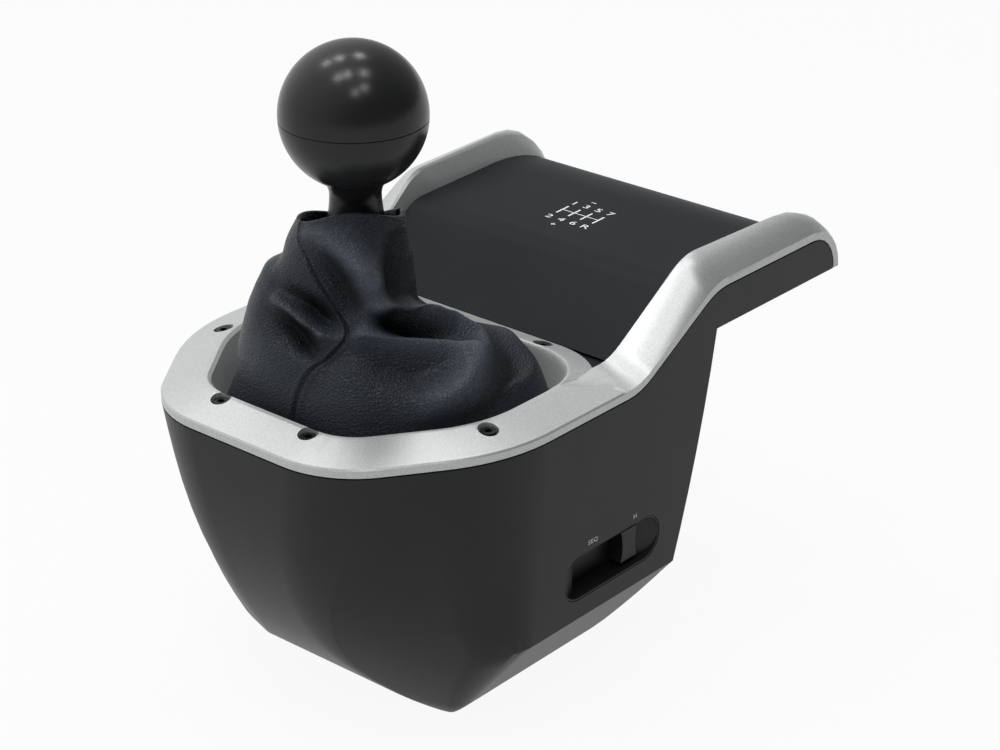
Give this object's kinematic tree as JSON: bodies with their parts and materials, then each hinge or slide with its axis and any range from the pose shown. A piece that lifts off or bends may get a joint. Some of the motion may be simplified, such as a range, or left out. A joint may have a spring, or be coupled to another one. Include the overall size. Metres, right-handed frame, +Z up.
{
  "type": "gear shifter controller",
  "caption": "Desk gear shifter with a ball knob on a gimballed lever, a leather boot, an H gate, a railed hood with a clamp overhang and a mode switch.",
  "frame": {"origin": "point on the flat bottom straight below the upright lever's axis", "axes": "+Z up along the upright lever, +Y to the rear overhang, +X to the user's right, the mode switch's side"},
  "size_m": [0.1512, 0.2391, 0.232],
  "materials": {
    "black_plastic": "fine satin grain",
    "knob_plastic": "smooth satin",
    "hood_plastic": "fine grain, printed shift pattern",
    "silver_trim": "satin bead-blasted",
    "black_screw": "black oxide",
    "leather": "black grained",
    "steel": "machined",
    "zinc": "cast and painted",
    "bronze": "turned",
    "circuit": "solder mask",
    "magnet": "plated",
    "rubber": "matt"
  },
  "bodies": {
    "chassis": {"main_housing": "black_plastic", "base_plate": "zinc", "base_screws": "black_screw", "base_pads": "rubber", "bezel_trim": "silver_trim", "bezel_screws": "black_screw", "hood_cover": "hood_plastic", "hood_screws": "black_screw", "boot_retainer": "black_plastic", "shift_boot": "leather", "switch_tray": "black_plastic", "mode_sensor": "circuit", "gimbal_bracket": "zinc", "pivot_bushings": "bronze", "gate_plate": "steel", "frame_posts": "steel", "spacer_tubes": "steel", "frame_nuts": "steel", "detent_plunger": "steel", "fore_aft_sensor": "circuit", "main_board": "circuit", "board_screws": "steel", "cord_socket": "black_plastic", "clamp_inserts": "bronze"},
    "yoke": {"gimbal_yoke": "zinc", "yoke_pins": "steel", "fore_aft_magnet": "magnet", "lever_bushings": "bronze", "left_right_sensor": "circuit", "centring_spring": "steel"},
    "lever": {"shift_lever": "steel", "lever_pin": "steel", "gate_pin": "steel", "knob_insert": "bronze", "knob_lower_shell": "knob_plastic", "knob_upper_shell": "knob_plastic", "boot_collar": "black_plastic", "left_right_magnet": "magnet"},
    "mode_slider": {"mode_slider_cap": "black_plastic", "mode_carriage": "black_plastic", "mode_magnet": "magnet"}
  },
  "joints": [
    {"name": "shift_fore_aft", "type": "hinge", "parent": "chassis", "child": "yoke", "pos_m": [0, 0, 0.085], "axis": [1, 0, 0], "range_deg": [-11, 11], "deforming": ["shift_boot"]},
    {"name": "shift_left_right", "type": "hinge", "parent": "yoke", "child": "lever", "pos_m": [0, 0, 0.085], "axis": [0, 1, 0], "range_deg": [-7, 14], "stiffness_Nm_per_rad": 1.5, "deforming": ["shift_boot"]},
    {"name": "mode_slide", "type": "slide", "parent": "chassis", "child": "mode_slider", "axis": [0, -1, 0], "range_m": [0, 0.024]}
  ]
}
